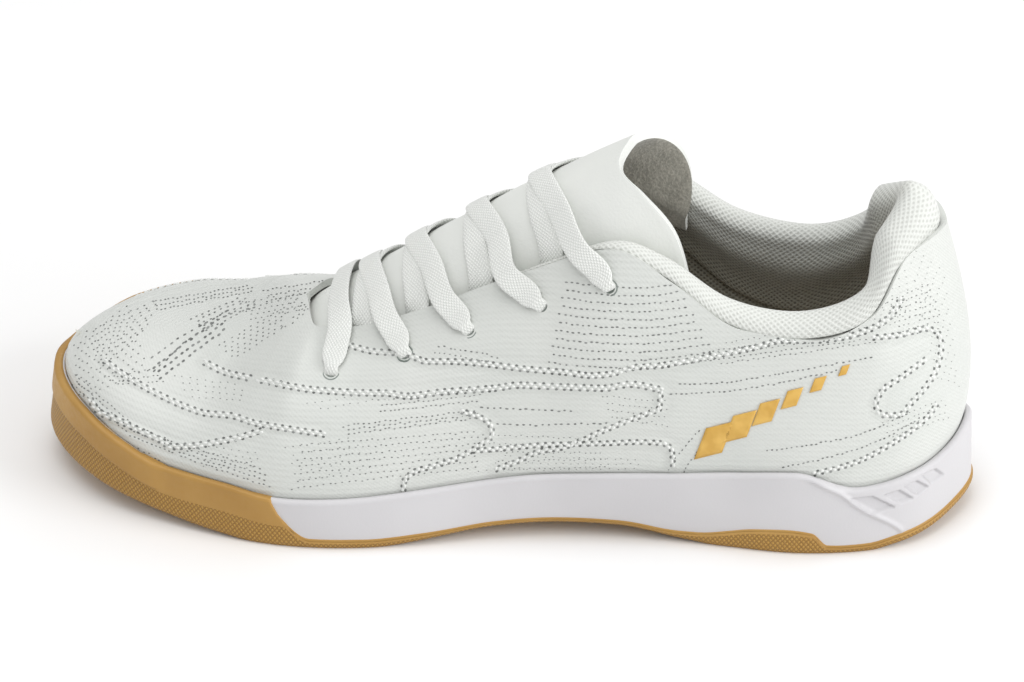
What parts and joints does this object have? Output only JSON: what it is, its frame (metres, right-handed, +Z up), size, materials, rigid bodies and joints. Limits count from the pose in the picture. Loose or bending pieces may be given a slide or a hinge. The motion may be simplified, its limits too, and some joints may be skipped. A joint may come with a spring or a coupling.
{
  "type": "indoor soccer shoe",
  "caption": "Low-cut left indoor soccer shoe with a stitched white synthetic upper, padded knit collar, crossed flat laces, white midsole and gum rubber outsole with a toe bumper.",
  "frame": {"origin": "middle of the sole in plan, on the plane that the sole stands on", "axes": "+X from heel to toe, +Y to the outer (lateral) side, +Z up"},
  "size_m": [0.2316, 0.0859, 0.0932],
  "materials": {
    "white_synthetic": "satin, fine embossed grain",
    "tongue_synthetic": "satin",
    "knit": "matte knit",
    "white_foam": "smooth matte foam",
    "gum_rubber": "matte",
    "tan_insole": "matte",
    "white_lace": "woven"
  },
  "bodies": {
    "root": {"outsole": "gum_rubber", "midsole": "white_foam", "insole": "tan_insole", "upper": "white_synthetic", "collar": "knit", "tongue": "tongue_synthetic", "lace_bar": "white_lace", "lace_crossing_1": "white_lace", "lace_crossing_2": "white_lace", "lace_crossing_3": "white_lace", "lace_crossing_4": "white_lace"}
  },
  "joints": []
}
